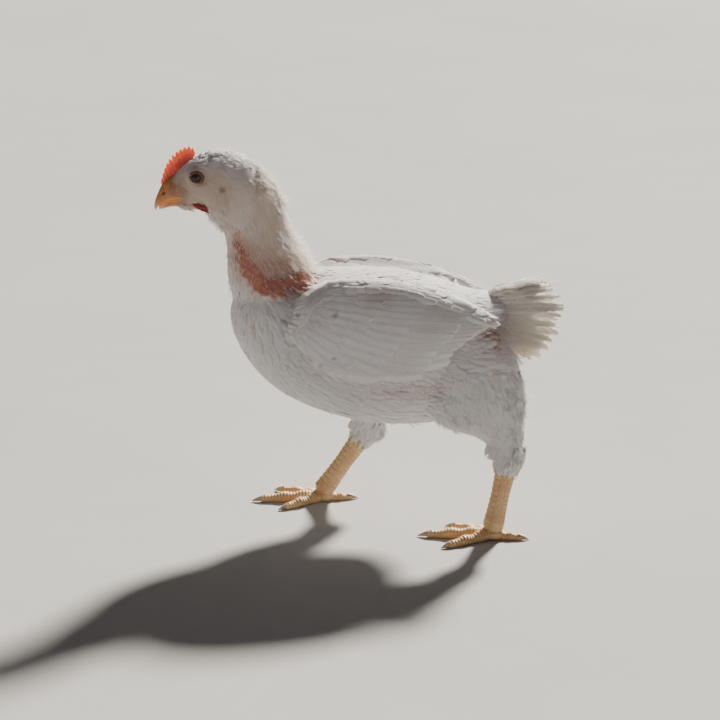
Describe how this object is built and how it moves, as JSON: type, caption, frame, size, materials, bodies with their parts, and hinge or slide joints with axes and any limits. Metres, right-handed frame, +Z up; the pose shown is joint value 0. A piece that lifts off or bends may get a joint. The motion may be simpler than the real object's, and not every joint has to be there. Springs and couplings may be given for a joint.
{
  "type": "broiler chicken model",
  "caption": "Life-size still model of a young white meat chicken standing in mid-stride, with single comb, folded wings and short drooping tail.",
  "frame": {"origin": "on the floor under the middle of the bird's box", "axes": "-X the way the bird faces, -Y its left side, +Z up"},
  "size_m": [0.3216, 0.1412, 0.3084],
  "materials": {
    "feathers": "soft white body feathers",
    "wing_feathers": "smooth white flight and tail feathers",
    "bare_skin": "soft red skin of comb and wattles",
    "bill_horn": "smooth yellow-orange horn",
    "eye_glass": "glossy dark brown eye",
    "leg_scales": "pale yellow scaled skin",
    "claw_horn": "pale horn"
  },
  "bodies": {
    "root": {"head": "feathers", "neck": "feathers", "torso": "feathers", "tail": "wing_feathers", "comb": "bare_skin", "wattle_left": "bare_skin", "wattle_right": "bare_skin", "bill_upper": "bill_horn", "bill_lower": "bill_horn", "eye_left": "eye_glass", "eye_right": "eye_glass", "wing_left": "wing_feathers", "wing_right": "wing_feathers", "thigh_left": "feathers", "thigh_right": "feathers", "shank_left": "leg_scales", "shank_right": "leg_scales", "foot_left": "leg_scales", "foot_right": "leg_scales", "claw_left_hind": "claw_horn", "claw_left_inner": "claw_horn", "claw_left_middle": "claw_horn", "claw_left_outer": "claw_horn", "claw_right_hind": "claw_horn", "claw_right_inner": "claw_horn", "claw_right_middle": "claw_horn", "claw_right_outer": "claw_horn"}
  },
  "joints": []
}
